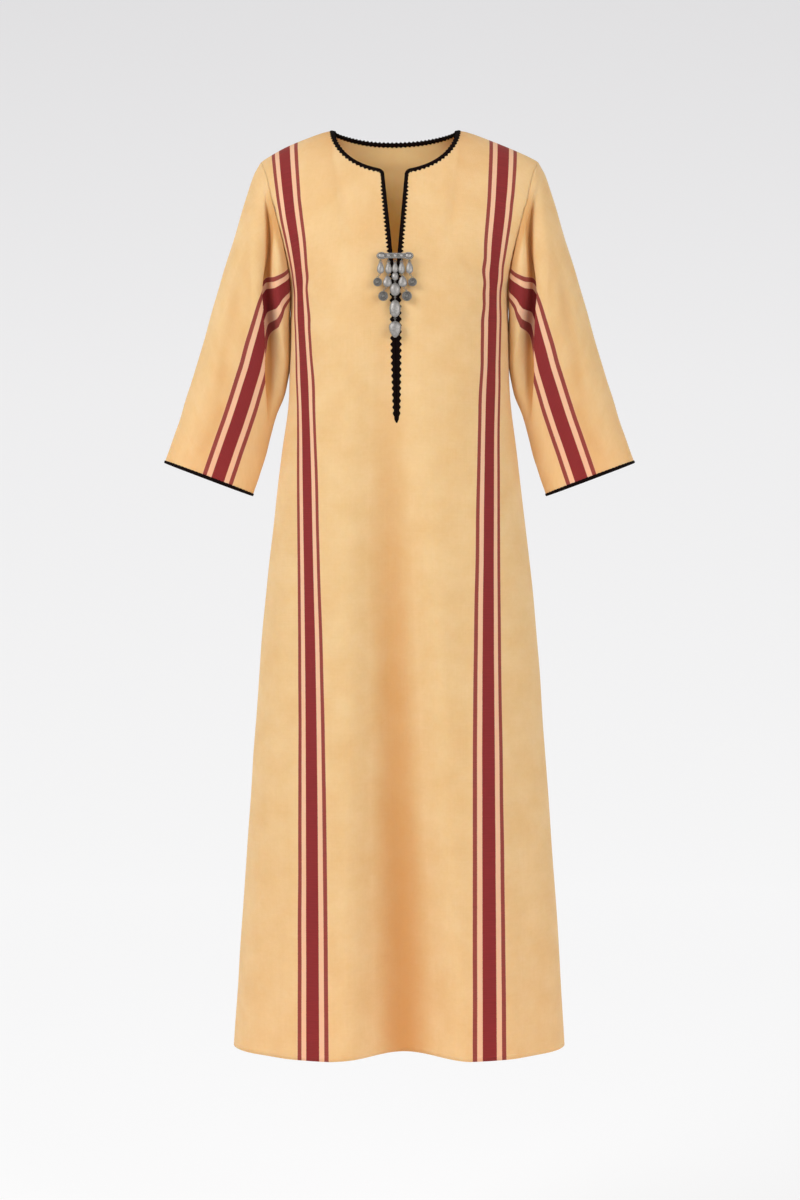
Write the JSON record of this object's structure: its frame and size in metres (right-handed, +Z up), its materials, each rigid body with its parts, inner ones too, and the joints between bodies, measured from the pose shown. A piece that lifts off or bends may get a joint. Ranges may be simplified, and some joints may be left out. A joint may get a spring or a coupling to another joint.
{
  "type": "kaftan dress",
  "caption": "Long A-line kaftan dress with set-in three-quarter sleeves, a round neck with a deep slit, scalloped edging and a silver brooch with hanging drops.",
  "frame": {"origin": "on the line between the two highest points of the shoulders, in the middle of the neck, where the wearer's shoulders hold the dress", "axes": "+Z up; the front faces -Y; +X is the wearer's left"},
  "size_m": [0.708, 0.2581, 1.3667],
  "materials": {
    "cloth": "matte, with a low sheen, golden tan with woven maroon stripes",
    "edging": "matte black thread",
    "silver": "aged, worn satin"
  },
  "bodies": {
    "dress": {"front_upper_left": "cloth", "front_upper_right": "cloth", "front_skirt_left": "cloth", "front_skirt_right": "cloth", "back": "cloth", "sleeve_left": "cloth", "sleeve_right": "cloth", "neck_edging": "edging", "cuff_edging_left": "edging", "cuff_edging_right": "edging", "brooch_bar": "silver"},
    "strand_outer_left": {"strand_outer_left": "silver"},
    "strand_outer_right": {"strand_outer_right": "silver"},
    "strand_inner_left": {"strand_inner_left": "silver"},
    "strand_inner_right": {"strand_inner_right": "silver"},
    "strand_middle": {"strand_middle": "silver"}
  },
  "joints": [
    {"name": "strand_outer_left_swing", "type": "hinge", "parent": "dress", "child": "strand_outer_left", "pos_m": [0.0146, -0.118, -0.2056], "axis": [-1, 0, 0], "range_deg": [0, 70]},
    {"name": "strand_outer_right_swing", "type": "hinge", "parent": "dress", "child": "strand_outer_right", "pos_m": [-0.0274, -0.118, -0.2056], "axis": [-1, 0, 0], "range_deg": [0, 70]},
    {"name": "strand_inner_left_swing", "type": "hinge", "parent": "dress", "child": "strand_inner_left", "pos_m": [0.0031, -0.118, -0.2056], "axis": [-1, 0, 0], "range_deg": [0, 70]},
    {"name": "strand_inner_right_swing", "type": "hinge", "parent": "dress", "child": "strand_inner_right", "pos_m": [-0.0159, -0.118, -0.2056], "axis": [-1, 0, 0], "range_deg": [0, 70]},
    {"name": "strand_middle_swing", "type": "hinge", "parent": "dress", "child": "strand_middle", "pos_m": [-0.0064, -0.118, -0.2056], "axis": [-1, 0, 0], "range_deg": [0, 70]}
  ]
}
